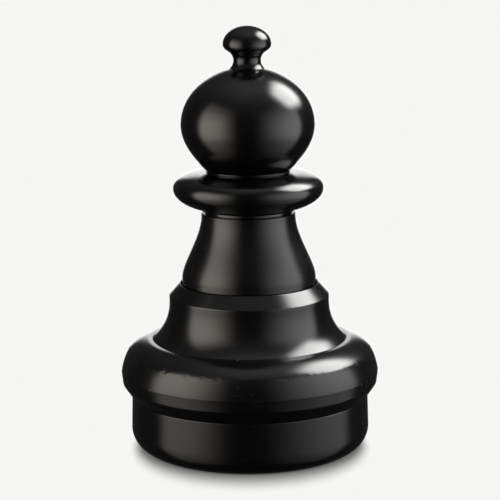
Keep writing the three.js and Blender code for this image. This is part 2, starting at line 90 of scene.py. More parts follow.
def make_camera():
    """A long lens 1.9 m in front of the object, looking 11 degrees down, with a slight roll."""
    data = bpy.data.cameras.new("camera")
    data.sensor_width = 36
    data.lens = 137.71
    data.shift_x = 0.00256
    camera = link("camera", data)
    camera.location = (0, -1.9, 0.5704)
    pitch = Matrix.Rotation(math.radians(79.077), 4, "X")
    roll = Matrix.Rotation(-0.00877, 4, "Z")
    camera.rotation_euler = (pitch @ roll).to_euler()
    scene.camera = camera


# ---- Node trees ---------------------------------------------------------------------------------


class Tree:
    """Short calls for building a node tree."""

    def __init__(self, material):
        material.use_nodes = True
        self.tree = material.node_tree
        self.tree.nodes.clear()

    def add(self, kind, *, output=0, settings=None, **inputs):
        """Makes a node and returns one output. Input names use _ for a space; i0, i1 are inputs by place."""
        node = self.tree.nodes.new("ShaderNode" + kind)
        for key, value in (settings or {}).items():
            setattr(node, key, value)
        for key, value in inputs.items():
            numbered = key[0] == "i" and key[1:].isdigit()
            socket = node.inputs[int(key[1:])] if numbered else node.inputs[key.replace("_", " ")]
            if isinstance(value, bpy.types.NodeSocket):
                self.tree.links.new(value, socket)
            else:
                socket.default_value = value
        return node.outputs[output]

    def math(self, operation, a, b=0.0, clamp=False):
        settings = {"operation": operation, "use_clamp": clamp}
        return self.add("Math", settings=settings, i0=a, i1=b)

    def step(self, value, low, high, bottom=0.0, top=1.0):
        """A smooth step from bottom to top as value goes from low to high."""
        settings = {"interpolation_type": "SMOOTHSTEP"}
        return self.add("MapRange", settings=settings, Value=value, From_Min=low, From_Max=high,
                        To_Min=bottom, To_Max=top)

    def mix(self, share, a, b):
        """A colour between a and b."""
        settings = {"data_type": "RGBA"}
        return self.add("Mix", output=2, settings=settings, i0=share, i6=a, i7=b)

    def finish(self, shader):
        """Makes a shader the material's surface."""
        out = self.tree.nodes.new("ShaderNodeOutputMaterial")
        self.tree.links.new(shader, out.inputs["Surface"])

    def surface(self, height, strength, **inputs):
        """A solid surface with relief, from a height in millimetres."""
        bump = self.add("Bump", Height=height, Distance=MM, Strength=strength)
        self.finish(self.add("BsdfPrincipled", Normal=bump, **inputs))


def around_axis(t, place):
    """The three coordinates of a position and its distance from the object's axis."""
    split = t.add("SeparateXYZ", i0=place)
    x, y, z = split, split.node.outputs[1], split.node.outputs[2]
    radius = t.math("SQRT", t.math("ADD", t.math("MULTIPLY", x, x), t.math("MULTIPLY", y, y)))
    return x, y, z, t.math("MAXIMUM", radius, 0.001)


# ---- Studio -------------------------------------------------------------------------------------


def emission_material(name, additive):
    """A glow whose strength is the mesh's own light attribute. An additive one lets light through."""
    material = bpy.data.materials.new(name)
    t = Tree(material)
    light = t.add("Attribute", settings={"attribute_name": "light"})
    glow = t.add("Emission", Color=light)
    if additive:
        glow = t.add("AddShader", i0=glow, i1=t.add("BsdfTransparent"))
    t.finish(glow)
    material.cycles.emission_sampling = "NONE"
    return material


def reflected_only(obj):
    """Shows in reflections on the object and nowhere else."""
    obj.visible_camera = False
    obj.visible_diffuse = False
    obj.visible_shadow = False
    obj.visible_transmission = False


def light_grid(name, rows, columns, place, colour, additive):
    """A grid of points, each with its own light. place and colour take two shares from 0 to 1."""
    mesh = bpy.data.meshes.new(name)
    points = []
    colours = []
    for i in range(rows + 1):
        for j in range(columns + 1):
            u = j / columns
            v = i / rows
            points.append(place(u, v))
            colours.append(colour(u, v))
    faces = []
    for i in range(rows):
        for j in range(columns):
            a = i * (columns + 1) + j
            faces.append((a, a + 1, a + columns + 2, a + columns + 1))
    mesh.from_pydata(points, [], faces)
    layer = mesh.color_attributes.new("light", "FLOAT_COLOR", "POINT")
    for item, value in zip(layer.data, colours):
        item.color = (*value, 1.0)
    made = link(name, mesh)
    mesh.materials.append(emission_material(name, additive))
    reflected_only(made)
    return made


# Strength of the side panels by height, in metres. Below the table top it is their image in the table.
PANEL_HEIGHTS = [
    (-1.1, 0.0), (-0.6, 0.1), (-0.4, 0.18), (-0.2, 0.28), (-0.02, 0.42), (0.06, 0.75), (0.2, 0.95),
    (0.3, 1.0), (0.45, 1.0), (0.57, 0.72), (0.645, 0.6), (0.705, 0.35), (0.87, 0.2), (0.95, 0.0),
]


def side_panels():
    """Two curved diffusion panels: warm on the left, neutral on the right, fading towards the camera."""
    radius, low, high = 0.65, -1.1, 0.95

    def angle(u):
        return -180 + 360 * u

    def place(u, v):
        a = math.radians(angle(u))
        return (radius * math.sin(a), -radius * math.cos(a), low + (high - low) * v)

    def colour(u, v):
        a = angle(u)
        left = 3.15 * smooth(-92, -78, a) * (1 - smooth(-60, -14, a))
        right = 2.5 * smooth(8, 78, a) * (1 - smooth(91, 103, a))
        up = along(PANEL_HEIGHTS, low + (high - low) * v)
        warm = (1.075, 1.0, 0.925)
        cool = (1.0, 0.985, 1.0)
        return tuple(up * (left * w + right * c) for w, c in zip(warm, cool))

    light_grid("side_panels", 60, 180, place, colour, True)


def overhead():
    """A dome that is dim near the horizon and brightest straight above the object."""
    radius = 4.0
    heights = [(-90, 0.01), (-20, 0.03), (0, 0.04), (30, 0.06), (50, 0.14), (60, 0.22), (70, 0.33),
               (80, 0.45), (90, 0.55)]

    def place(u, v):
        a, e = math.radians(360 * u), math.radians(-90 + 180 * v)
        return (radius * math.cos(e) * math.cos(a), radius * math.cos(e) * math.sin(a), radius * math.sin(e))

    def colour(u, v):
        light = along(heights, -90 + 180 * v)
        return (light, light, light)

    light_grid("overhead", 60, 72, place, colour, False)


def backdrop():
    """The lit part of the white backdrop, which the far rims mirror."""
    distance, half_width, low, high = 1.0, 0.35, -0.1, 0.78

    def place(u, v):
        return ((2 * u - 1) * half_width, distance, low + (high - low) * v)

    def colour(u, v):
        side = smooth(0, 0.13, u) * smooth(0, 0.13, 1 - u)
        up = smooth(0, 0.05, v) * smooth(0, 0.3, 1 - v)
        light = 2.0 * side * up
        return (light, light, light)

    light_grid("backdrop", 24, 24, place, colour, True)


# The key light's glow at its middle, its half sizes in metres to about where that glow has halved, its tilt
# in degrees, and how square its outline is (2 would be an oval).
KEY_LEVEL = 13.5
KEY_HALF_WIDTH = 0.70
KEY_HALF_HEIGHT = 0.60
KEY_TILT = -17
KEY_SQUARENESS = 3.2


def key_light():
    """A softbox high on the right. A panel gives its image in the plastic, and a lamp its plain light."""
    target = Vector((0, 0, 0.35))
    azimuth, elevation, distance = math.radians(112), math.radians(42.6), 1.9
    level = distance * math.cos(elevation)
    height = distance * math.sin(elevation)
    away = Vector((level * math.sin(azimuth), -level * math.cos(azimuth), height))
    tilt = Matrix.Rotation(math.radians(KEY_TILT), 3, "Z")
    facing = away.to_track_quat("Z", "Y").to_matrix() @ tilt
    half = 0.95

    def place(u, v):
        return target + away + facing @ Vector(((2 * u - 1) * half, (2 * v - 1) * half, 0))

    def colour(u, v):
        across = abs(2 * u - 1) * half / KEY_HALF_WIDTH
        up = abs(2 * v - 1) * half / KEY_HALF_HEIGHT
        reach = (across**KEY_SQUARENESS + up**KEY_SQUARENESS) ** (1 / KEY_SQUARENESS)
        light = KEY_LEVEL * (1 - smooth(0.64, 1.34, reach))
        return (light, light, light * 0.985)

    light_grid("key_panel", 48, 48, place, colour, True)
    data = bpy.data.lights.new("key", "AREA")
    data.shape = "RECTANGLE"
    data.size = 2 * KEY_HALF_WIDTH
    data.size_y = 2 * KEY_HALF_HEIGHT
    data.energy = KEY_LEVEL * math.pi * data.size * data.size_y
    key = link("key", data)
    key.location = target + away
    key.rotation_euler = facing.to_euler()
    key.visible_camera = False
    key.visible_glossy = False


def floor():
    """A white floor as bright as the background, with a painted soft shadow like the one that light from
    above leaves.
    """
    mesh = bpy.data.meshes.new("floor")
    half = 30
    corners = [(-half, -half, 0), (half, -half, 0), (half, half, 0), (-half, half, 0)]
    mesh.from_pydata(corners, [], [(0, 1, 2, 3)])
    made = link("floor", mesh)
    made.location.z = -0.0002
    material = bpy.data.materials.new("white_floor_painted_shadow")
    t = Tree(material)
    place = t.add("TexCoord", output=3)
    _, y, _, radius = around_axis(t, place)
    # Painted shadow: darker near the base, reaching furthest towards the front.
    front = t.math("MAXIMUM", t.math("MULTIPLY", t.math("DIVIDE", y, radius), -1.0), 0.0)
    front = t.math("MULTIPLY", front, front)
    start = t.math("SUBTRACT", 0.110, t.math("MULTIPLY", front, 0.013))
    end = t.math("ADD", 0.1245, t.math("MULTIPLY", front, 0.0405))
    soft = t.step(radius, start, end, 0.17, 1.0)
    # Painted contact shadow right at the foot of the drum.
    painted_contact_shadow = t.step(radius, 0.098, 0.109, 0.03, 1.0)
    # The floor's glow with both painted shadows in it.
    light = t.math("MULTIPLY", soft, painted_contact_shadow)
    t.finish(t.add("Emission", Color=WHITE, Strength=light))
    material.cycles.emission_sampling = "NONE"
    mesh.materials.append(material)
    made.visible_glossy = False
    made.visible_diffuse = False


def studio():
    world = bpy.data.worlds.new("white")
    world.use_nodes = True
    world.node_tree.nodes["Background"].inputs["Color"].default_value = WHITE
    world.cycles_visibility.glossy = False
    scene.world = world
    floor()
    side_panels()
    overhead()
    backdrop()
    key_light()


# ---- Materials ----------------------------------------------------------------------------------


def turned_lines(t, place, across, up):
    """Noise drawn out round the axis, as fine tooling lines are."""
    x, y, z, radius = around_axis(t, place)
    east = t.math("MULTIPLY", t.math("DIVIDE", x, radius), across)
    north = t.math("MULTIPLY", t.math("DIVIDE", y, radius), across)
    height = t.math("MULTIPLY", z, up)
    out = t.math("MULTIPLY", radius, up * 0.8)
    stretched = t.add("CombineXYZ", X=east, Y=north, Z=t.math("ADD", height, out))
    return t.add("TexNoise", Vector=stretched, Scale=1.0, Detail=3.0, Roughness=0.6)


def band(t, z, middle, half, soft):
    """1 inside a band of heights and 0 outside it, in millimetres. soft is the width of each edge."""
    low = (middle - half) * MM
    high = (middle + half) * MM
    edge = soft * MM
    return t.math("MULTIPLY", t.step(z, low - edge, low), t.step(z, high, high + edge, 1.0, 0.0))


def mark(t, place, azimuth, radius, height, half_length, half_width, tilt):
    """1 inside a small oval on a turned face and 0 outside it. Millimetres, and degrees from the front."""
    a = math.radians(azimuth)
    settings = {"vector_type": "TEXTURE"}
    centre = (radius * math.sin(a) * MM, -radius * math.cos(a) * MM, height * MM)
    size = (half_length * MM, 4 * MM, half_width * MM)
    local = t.add("Mapping", settings=settings, Vector=place, Location=centre,
                  Rotation=(0, -math.radians(tilt), a), Scale=size)
    reach = t.add("VectorMath", output=1, settings={"operation": "LENGTH"}, i0=local)
    return t.step(reach, 0.55, 1.0, 1.0, 0.0)


def highest(t, values):
    """The largest of several values, or 0 if there are none."""
    result = 0.0
    for value in values:
        result = t.math("MAXIMUM", value, result)
    return result


def plastic(name, roughness, lines, wear=(), gouges=(), flecks=()):
    """Black moulded plastic: faint orange peel, tooling lines, handling scratches and dust.

    lines is how strong the tooling lines are. wear lists scuffed bands as (height, half height, edge width,
    strength). gouges and flecks list the dull and the pale marks, as mark() takes them."""
    material = bpy.data.materials.new(name)
    t = Tree(material)
    place = t.add("TexCoord", output=3)
    z = around_axis(t, place)[2]

    cloud = t.add("TexNoise", Vector=place, Scale=14.0, Detail=4.0, Roughness=0.55)
    grain = t.add("TexNoise", Vector=place, Scale=1900.0, Detail=2.0, Roughness=0.5)
    peel = t.add("TexNoise", Vector=place, Scale=170.0, Detail=2.0, Roughness=0.4)
    tooling = turned_lines(t, place, 1.6, 900.0)

    # Scratches: the thin peaks of two stretched noises, and the single gouges, broken into streaks.
    scratch_a = turned_lines(t, place, 9.0, 420.0)
    tilt = t.add("Mapping", Vector=place, Rotation=(0.6, 0.9, 0.4), Scale=(25.0, 700.0, 60.0))
    scratch_b = t.add("TexNoise", Vector=tilt, Scale=1.0, Detail=2.0, Roughness=0.5)
    thin_a = t.step(scratch_a, 0.69, 0.73)
    thin_b = t.step(scratch_b, 0.735, 0.765)
    streak = t.add("TexNoise", Vector=place, Scale=900.0, Detail=2.0, Roughness=0.5)
    broken = t.step(streak, 0.38, 0.56)
    dull = t.math("MULTIPLY", highest(t, [mark(t, place, *each) for each in gouges]), broken)
    scratches = highest(t, [thin_a, thin_b, dull])

    # A little dust, and the pale flecks.
    fleck = t.add("TexNoise", Vector=place, Scale=620.0, Detail=1.0, Roughness=0.5)
    dust = highest(t, [t.step(fleck, 0.80, 0.83), *[mark(t, place, *each) for each in flecks]])

    # Scuffed bands, in patches.
    bands = [t.math("MULTIPLY", band(t, z, *each[:3]), each[3]) for each in wear]
    patch = t.add("TexNoise", Vector=place, Scale=75.0, Detail=5.0, Roughness=0.7)
    worn = t.math("MULTIPLY", highest(t, bands), t.step(patch, 0.52, 0.70))

    rough = t.math("ADD", roughness - 0.035, t.math("MULTIPLY", cloud, 0.07))
    rough = t.math("ADD", rough, t.math("MULTIPLY", scratches, 0.10))
    rough = t.math("ADD", rough, t.math("MULTIPLY", worn, 0.22))
    rough = t.math("ADD", rough, t.math("MULTIPLY", dust, 0.25), clamp=True)

    colour = t.mix(cloud, (0.0007, 0.0007, 0.0007, 1), (0.0013, 0.0012, 0.0012, 1))
    colour = t.mix(t.math("MULTIPLY", scratches, 0.35), colour, (0.009, 0.009, 0.009, 1))
    colour = t.mix(t.math("MULTIPLY", worn, 0.5), colour, (0.012, 0.011, 0.011, 1))
    colour = t.mix(t.math("MULTIPLY", dust, 0.5), colour, (0.07, 0.068, 0.064, 1))

    height = t.math("MULTIPLY", peel, 0.010)
    height = t.math("ADD", height, t.math("MULTIPLY", grain, 0.0016))
    height = t.math("ADD", height, t.math("MULTIPLY", tooling, 0.0022 * lines))
    height = t.math("SUBTRACT", height, t.math("MULTIPLY", scratches, 0.004))
    height = t.math("ADD", height, t.math("MULTIPLY", t.math("MULTIPLY", worn, grain), 0.02))
    t.surface(height, 1.0, Base_Color=colour, Roughness=rough, IOR=1.5)
    return material


def rubber():
    material = bpy.data.materials.new("seal_rubber")
    t = Tree(material)
    place = t.add("TexCoord", output=3)
    cloud = t.add("TexNoise", Vector=place, Scale=60.0, Detail=4.0, Roughness=0.6)
    grain = t.add("TexNoise", Vector=place, Scale=1400.0, Detail=2.0, Roughness=0.6)
    bloom = t.step(cloud, 0.52, 0.72)
    colour = t.mix(bloom, (0.011, 0.011, 0.011, 1), (0.035, 0.034, 0.033, 1))
    rough = t.math("ADD", 0.62, t.math("MULTIPLY", cloud, 0.2))
    height = t.math("ADD", t.math("MULTIPLY", grain, 0.02), t.math("MULTIPLY", cloud, 0.03))
    t.surface(height, 1.0, Base_Color=colour, Roughness=rough, IOR=1.5)
    return material


def zinc():
    """Zinc-plated steel with a faint yellow and blue cast and fine wear."""
    material = bpy.data.materials.new("zinc_steel")
    t = Tree(material)
    place = t.add("TexCoord", output=3)
    cloud = t.add("TexNoise", Vector=place, Scale=260.0, Detail=3.0, Roughness=0.6)
    spots = t.add("TexNoise", Vector=place, Scale=1500.0, Detail=2.0, Roughness=0.6)
    colour = t.mix(t.step(cloud, 0.35, 0.65), (0.62, 0.60, 0.54, 1), (0.56, 0.59, 0.63, 1))
    colour = t.mix(t.math("MULTIPLY", t.step(spots, 0.66, 0.74), 0.6), colour, (0.28, 0.26, 0.23, 1))
    rough = t.math("ADD", 0.2, t.math("MULTIPLY", spots, 0.25))
    height = t.math("MULTIPLY", spots, 0.012)
    t.surface(height, 1.0, Base_Color=colour, Roughness=rough, Metallic=1.0)
    return material


def sand():
    """Dry builder's sand: grains of several tints, with painted shade in the gaps between them."""
    material = bpy.data.materials.new("dry_sand")
    t = Tree(material)
    place = t.add("TexCoord", output=3)
    grains = t.add("TexVoronoi", output=1, Vector=place, Scale=900.0)
    edges = t.add("TexVoronoi", Vector=place, Scale=900.0)
    tint = t.add("SeparateXYZ", i0=grains)
    damp = t.add("TexNoise", Vector=place, Scale=25.0, Detail=3.0, Roughness=0.5)
    colour = t.mix(tint, (0.30, 0.22, 0.13, 1), (0.62, 0.52, 0.37, 1))
    # Painted shade in the gaps between the grains.
    colour = t.mix(t.step(edges, 0.35, 0.75), colour, (0.10, 0.07, 0.04, 1))
    colour = t.mix(t.step(damp, 0.5, 0.75, 0.0, 0.45), colour, (0.16, 0.11, 0.065, 1))
    height = t.math("MULTIPLY", t.math("SUBTRACT", 1.0, edges), 0.5)
    t.surface(height, 0.8, Base_Color=colour, Roughness=0.9)
    return material


# ---- Outlines -----------------------------------------------------------------------------------
# An outline is a list of (radius, height) points in millimetres. A third number rounds that corner.


def curve(start, handle_a, handle_b, end, steps=24):
    """Points along a cubic curve, without its first point."""
    points = []
    for i in range(1, steps + 1):
        s = i / steps
        w = ((1 - s) ** 3, 3 * (1 - s) ** 2 * s, 3 * (1 - s) * s * s, s**3)
        each = (start, handle_a, handle_b, end)
        points.append(tuple(sum(k * p[axis] for k, p in zip(w, each)) for axis in (0, 1)))
    return points


def arc(centre, radius_r, radius_z, from_degrees, to_degrees, steps=16):
    """Points along a circular or elliptical arc, both ends included."""
    points = []
    for i in range(steps + 1):
        a = math.radians(from_degrees + (to_degrees - from_degrees) * i / steps)
        points.append((centre[0] + radius_r * math.cos(a), centre[1] + radius_z * math.sin(a)))
    return points


def offset(points, distance):
    """The outline moved sideways, to the left of its direction of travel."""
    result = []
    for i, (r, z) in enumerate(points):
        before = points[max(i - 1, 0)]
        after = points[min(i + 1, len(points) - 1)]
        direction = Vector((after[0] - before[0], after[1] - before[1])).normalized()
        result.append((r - direction.y * distance, z + direction.x * distance))
    return result


def rounded(points, is_closed, steps=5):
    """The outline with each corner that has a third number replaced by a small arc."""
    result = []
    count = len(points)
    for i, point in enumerate(points):
        if len(point) == 2 or (not is_closed and i in (0, count - 1)):
            result.append(tuple(point[:2]))
            continue
        here = Vector(point[:2])
        before = Vector(points[i - 1][:2])
        after = Vector(points[(i + 1) % count][:2])
        reach = min(point[2], (before - here).length * 0.45, (after - here).length * 0.45)
        start = here + (before - here).normalized() * reach
        end = here + (after - here).normalized() * reach
        for k in range(steps + 1):
            s = k / steps
            result.append(tuple(start * (1 - s) ** 2 + here * 2 * s * (1 - s) + end * s * s))
    return result


def divided(points, is_closed, longest=5.0, margin=0.35):
    """The outline with extra points on its long straights, so that shading stays flat beside roundings."""
    result = []
    count = len(points)
    last = count if is_closed else count - 1
    for i in range(last):
        a = Vector(points[i])
        b = Vector(points[(i + 1) % count])
        result.append(tuple(a))
        length = (b - a).length
        if length < 2.2:
            continue
        inner = max(1, math.ceil((length - 2 * margin) / longest))
        for k in range(inner + 1):
            s = (margin + (length - 2 * margin) * k / inner) / length
            result.append(tuple(a.lerp(b, s)))
    if not is_closed:
        result.append(tuple(points[-1]))
    return result


# ---- Meshes -------------------------------------------------------------------------------------


def lathe(name, outline, segments=144, is_closed=True, ripple=None):
    """A turned mesh in metres. ripple, if given, takes (radius, height, angle) and returns both moved."""
    points = divided(rounded(outline, is_closed), is_closed)
    bm = bmesh.new()
    rings = []
    for r, z in points:
        if r < 1e-6:
            rings.append([bm.verts.new((0, 0, z * MM))])
            continue
        ring = []
        for k in range(segments):
            a = 2 * math.pi * k / segments
            rr, zz = (r, z) if ripple is None else ripple(r, z, a)
            ring.append(bm.verts.new((rr * MM * math.cos(a), rr * MM * math.sin(a), zz * MM)))
        rings.append(ring)
    pairs = list(zip(rings, rings[1:]))
    if is_closed:
        pairs.append((rings[-1], rings[0]))
    for low, high in pairs:
        for k in range(segments):
            n = (k + 1) % segments
            if len(low) == 1 and len(high) == 1:
                continue
            if len(low) == 1:
                bm.faces.new((low[0], high[n], high[k]))
            elif len(high) == 1:
                bm.faces.new((low[k], low[n], high[0]))
            else:
                bm.faces.new((low[k], low[n], high[n], high[k]))
    return finished(name, bm)


def finished(name, bm):
    """A mesh with its faces pointing out."""
    bmesh.ops.recalc_face_normals(bm, faces=bm.faces)
    if bm.calc_volume(signed=True) < 0:
        bmesh.ops.reverse_faces(bm, faces=bm.faces)
    mesh = bpy.data.meshes.new(name)
    bm.to_mesh(mesh)
    bm.free()
    return mesh


def shade(mesh, degrees):
    """Smooth shading, with edges sharper than an angle kept crisp."""
    mesh.shade_smooth()
    mesh.set_sharp_from_angle(angle=math.radians(degrees))


def moved(mesh, x=0.0, y=0.0, z=0.0, turn=0.0):
    """The mesh turned about Z and shifted, in millimetres."""
    mesh.transform(Matrix.Translation((x * MM, y * MM, z * MM)) @ Matrix.Rotation(turn, 4, "Z"))
    return mesh


def combined(name, base, others, operation):
    """base with each of the other meshes joined to it or cut from it."""
    target = link("work_" + name, base)
    for other in others:
        tool = link("tool_" + name, other)
        step = target.modifiers.new("step", "BOOLEAN")
        step.solver = "MANIFOLD"
        step.operation = operation
        step.object = tool
        depsgraph = bpy.context.evaluated_depsgraph_get()
        result = bpy.data.meshes.new_from_object(target.evaluated_get(depsgraph))
        target.modifiers.remove(step)
        target.data = result
        bpy.data.objects.remove(tool)
    result = target.data
    bpy.data.objects.remove(target)
    return result


def cylinder(name, radius, bottom, top, segments=48):
    return lathe(name, [(0, bottom), (radius, bottom), (radius, top), (0, top)], segments, False)


def thread(name, pitch, turns, root, crest, root_width, crest_width, start, steps=72):
    """A helical ridge that runs out at both ends, in the CAD's place. steps is points a turn."""
    inward = 1 if root > crest else -1
    sunk = root + inward * 0.8
    count = round(turns * steps)
    bm = bmesh.new()
    rings = []
    for i in range(count + 1):
        a = 2 * math.pi * i / steps
        z = start + pitch * i / steps
        full = min(1.0, 0.15 + min(i, count - i) / (3 * steps / 16))
        tip = root + (crest - root) * full
        soft = 0.25 * crest_width
        flank = tip - (tip - root) * 0.12
        half = [
            (tip, crest_width / 2 - soft),
            (flank, crest_width / 2 + 0.1),
            (root, root_width / 2 - 0.15),
            (sunk, root_width / 2),
        ]
        section = [(r, -dz) for r, dz in reversed(half)] + half
        east, north = MM * math.cos(a), MM * math.sin(a)
        rings.append([bm.verts.new((r * east, r * north, (z + dz) * MM)) for r, dz in section])
    for low, high in zip(rings, rings[1:]):
        for k in range(len(low)):
            n = (k + 1) % len(low)
            bm.faces.new((low[k], low[n], high[n], high[k]))
    bm.faces.new(rings[0])
    bm.faces.new(rings[-1])
    return finished(name, bm)


def piece(name, mesh, material, body, slot, *nodes, degrees=38):
    """A finished piece that rides on a body and stands for CAD nodes."""
    shade(mesh, degrees)
    mesh.materials.clear()
    mesh.materials.append(material)
    made = link(name, mesh)
    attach(made, body)
    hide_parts(*nodes)
    return made


# ---- Dimensions shared by several pieces ----------------------------------------------------------

GAP = 0.3  # between touching pieces
WALL = 3.0  # of every moulding
SCREW_NAMES = [f"base_screw_{i}" for i in range(1, 5)]
SKIRT_LOW, SKIRT_HIGH = box_mm("skirt")
DRUM_RADIUS = box_mm("base_drum")[1].x
DRUM_TOP = SKIRT_LOW.z - GAP
DRUM_DECK = DRUM_TOP - 4  # underside of the drum's top plate
DRUM_ROUNDING = 22.6  # radius of its edge at the ground
DRUM_ROUNDING_CENTRE = (DRUM_RADIUS - DRUM_ROUNDING, DRUM_ROUNDING)
TORUS_RADIUS = SKIRT_HIGH.x
SKIRT_SOCKET_TOP = 164
PARTING_HEIGHT = 80.4
RIDGE = (124.2, 100.6)  # the torus's turned edge, as radius and height
PILOT_RADIUS = 2.35  # of the holes that the screws cut their thread in

# Threads: pitch, turns, radii at the root and the crest, widths at the root and the crest, start height.
DRUM_THREAD = (5, 2.2, 17, 15, 2.2, 1, 26.2)
PLUG_THREAD = (5, 2.2, 14.2, 16.4, 2.2, 1, 28.1)
WAIST_THREAD = (10, 1.7, 37.4, 34.9, 4.4, 2, 216)
HEAD_THREAD = (10, 1.7, 34, 36.8, 4.4, 2, 212.7)


def screw_places():
    """Where the axes of the four base screws are."""
    places = []
    for name in SCREW_NAMES:
        low, high = box_mm(name)
        places.append(((low.x + high.x) / 2, (low.y + high.y) / 2))
    return places


def at_screws(name, radius, bottom, top, segments=48):
    """Four upright cylinders, one on each base screw's axis."""
    return [moved(cylinder(name, radius, bottom, top, segments), x, y) for x, y in screw_places()]


# ---- Base ---------------------------------------------------------------------------------------


def drum_outline():
    """From the deck's underside, down the inside, round the plug's well, up the outside, over the top."""
    top_radius = DRUM_RADIUS - 0.9
    inner = DRUM_ROUNDING - WALL
    return [
        (0, DRUM_DECK),
        (top_radius - WALL, DRUM_DECK, 1.5),
        *reversed(arc(DRUM_ROUNDING_CENTRE, inner, inner, -90, 0)),
        (89, WALL, 1.5),
        (87, 7, 1.5),
        (39.5, 7, 1.5),
        (37.5, 27, 1.5),
        (20, 27, 1.5),
        (20, 40, 0.8),
        (17, 40, 0.8),
        (17, 24, 0.8),
        (34, 24, 1.0),
        (36, 4, 1.0),
        (84, 4, 1.0),
        (86, 0, 0.9),
        *arc(DRUM_ROUNDING_CENTRE, DRUM_ROUNDING, DRUM_ROUNDING, -90, 0, 24),
        (top_radius, DRUM_TOP - 0.6, 0.7),
        (top_radius - 0.7, DRUM_TOP, 0.5),
        (65.5, DRUM_TOP, 0.5),
        (65, DRUM_TOP + 5, 0.8),
        (62, DRUM_TOP + 5, 0.8),
        (62, DRUM_TOP, 0.5),
        (0, DRUM_TOP),
    ]


def drum(material):
    """The drum with its four screw pillars and the threaded neck that the plug screws into."""
    mesh = lathe("drum", drum_outline(), 160, False)
    pillars = at_screws("pillar", 9.1, 5, DRUM_DECK + 1)
    ridge = thread("neck_thread", *DRUM_THREAD)
    mesh = combined("drum", mesh, [*pillars, ridge], "UNION")
    wells = at_screws("well", 6.6, -1, DRUM_DECK)
    holes = at_screws("hole", 2.6, DRUM_DECK - 1, DRUM_TOP + 1, 32)
    mesh = combined("drum", mesh, [*wells, *holes], "DIFFERENCE")
    piece("base_drum_shell", mesh, material, "base", "base_plastic", "base_drum")


def sand_bed(material):
    """The sand's level top with the shallow heaps that carrying leaves."""
    inner = DRUM_ROUNDING - WALL - 0.4
    level = box_mm("sand_fill")[1].z
    mean = level - 1.3
    top = [(DRUM_RADIUS - WALL - 1.2 - i * 3.2, mean) for i in range(31)]
    outline = [
        (20.5, 27.4),
        (38, 27.4),
        (40, 7.4),
        (87.5, 7.4),
        (89.6, 3.4),
        *arc(DRUM_ROUNDING_CENTRE, inner, inner, -90, 0, 12),
        *top,
        (20.5, mean),
    ]

    def heaps(r, z, a):
        if z < mean - 0.2:
            return r, z
        here = Vector((r * math.cos(a), r * math.sin(a), 0))
        rise = noise.noise(here * 0.035) * 0.9 + noise.noise(here * 0.16) * 0.4
        return r, min(level, z + rise)

    mesh = lathe("sand", outline, 144, True, heaps)
    mesh = combined("sand", mesh, at_screws("clear", 9.6, 0, 60), "DIFFERENCE")
    piece("sand_bed", mesh, material, "base", "sand", "sand_fill")


def skirt_outside():
    """The outside: torus with the parting line's groove, ridge, crest, foot of the cove, cove."""
    crest = (103.2, 113.8)
    foot = (98.8, 114.2)
    cove = box_mm("waist")[1].x + 13.4
    lip = (TORUS_RADIUS, PARTING_HEIGHT + 0.55)
    groove = TORUS_RADIUS - 0.6
    return [
        (129.5, 69.3, 0.9),
        (TORUS_RADIUS - 0.05, PARTING_HEIGHT - 0.5),
        (groove, PARTING_HEIGHT - 0.45),
        (groove, PARTING_HEIGHT + 0.4),
        lip,
        *curve(lip, (129.7, 88.2), (127.4, 94.8), RIDGE),
        *curve(RIDGE, (118.3, 108.1), (108.6, 112.2), crest),
        *curve(crest, (101.9, 114.15), (100.3, 114.25), foot, 6),
        *curve(foot, (90.9, 120.6), (cove, 132.5), (cove, 153), 30),
        (cove, 158.5, 0.8),
    ]


def skirt_ripple(r, z, a):
    """The chips along the parting line's groove and the ragged, gouged ridge where the torus was turned."""
    if r < 118 or z < 76 or z > 106:
        return r, z
    here = Vector((math.cos(a), math.sin(a), 0)) * 28

    def rough(scale, shift):
        return noise.noise(here * scale + Vector((0, 0, shift)))

    if PARTING_HEIGHT + 0.1 < z < PARTING_HEIGHT + 0.6:
        z += 1.4 * max(0.0, rough(1, 0) - 0.1) + max(0.0, rough(1.9, 0) - 0.25)
    near_ridge = max(0.0, 1 - abs(z - RIDGE[1]) / 1.6)
    wave = rough(1.4, 4) + 0.6 * rough(2.1, 9)
    gouge = max(0.0, rough(1.2, 15) - 0.22)
    return r + near_ridge * (wave * 0.10 - gouge * 1.3), z + near_ridge * wave * 0.34


def skirt(material):
    """The skirt shell, its socket for the waist and the four bosses that the base screws bite into."""
    seat = SKIRT_LOW.z
    outside = skirt_outside()
    plain = [point[:2] for point in outside]
    inside = list(reversed(offset(plain, WALL)[5:-1]))[::3]
    outline = [
        (65.9, seat, 0.6),
        (120.4, seat, 0.5),
        *outside,
        (70.8, 170.4, 0.6),
        (70.2, SKIRT_HIGH.z, 0.5),
        (69.6, 170.4, 0.4),
        (69.6, SKIRT_SOCKET_TOP, 0.5),
        (60.9, SKIRT_SOCKET_TOP, 1.0),
        (60.9, 126, 0.8),
        (63.9, 126, 0.8),
        (63.9, 161, 1.5),
        (72.6, 161, 1.5),
        (78.1, 156.5, 1.0),
        *inside,
        (126.5, 70.3, 1.0),
        (119.4, seat + WALL, 1.0),
        (65.9, seat + WALL, 0.6),
    ]
    mesh = lathe("skirt", outline, 360, True, skirt_ripple)
    mesh = combined("skirt", mesh, at_screws("boss", 6.5, seat + 1, 84), "UNION")
    pilots = at_screws("pilot", PILOT_RADIUS, seat - 1, 81, 32)
    mesh = combined("skirt", mesh, pilots, "DIFFERENCE")
    piece("skirt_shell", mesh, material, "base", "base_plastic", "skirt", degrees=30)


